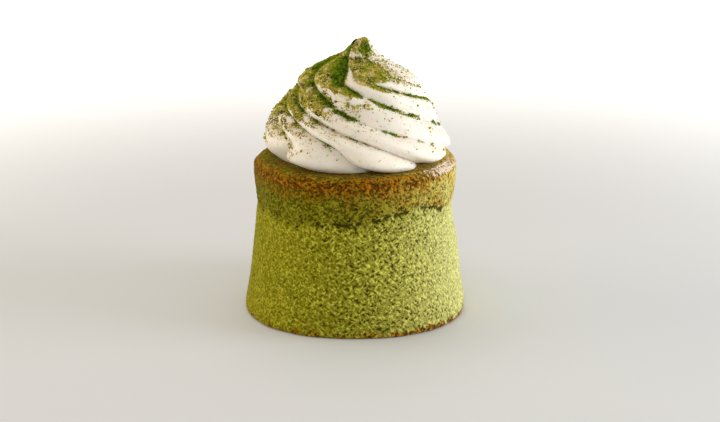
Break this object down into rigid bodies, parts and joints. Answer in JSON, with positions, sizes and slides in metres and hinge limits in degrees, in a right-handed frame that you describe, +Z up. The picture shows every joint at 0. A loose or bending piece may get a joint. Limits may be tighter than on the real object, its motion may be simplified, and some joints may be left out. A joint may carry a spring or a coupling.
{
  "type": "matcha sponge cake with whipped cream",
  "caption": "Round tapered matcha sponge cake for one, with a risen collar at the top edge, under a piped, ridged swirl of whipped cream dusted with green tea powder.",
  "frame": {"origin": "centre of the cake's flat underside", "axes": "+Z up through the swirl of cream, -Y towards the side seen in the picture, +X to the right of that side"},
  "size_m": [0.076, 0.0741, 0.0918],
  "materials": {
    "sponge": "matt baked green tea sponge, open fine crumb, browned at the top edge and the foot",
    "cream": "smooth soft white whipped cream with a faint sheen",
    "tea_powder": "matt dry green tea powder"
  },
  "bodies": {
    "root": {"sponge_cake": "sponge", "whipped_cream": "cream"}
  },
  "joints": []
}
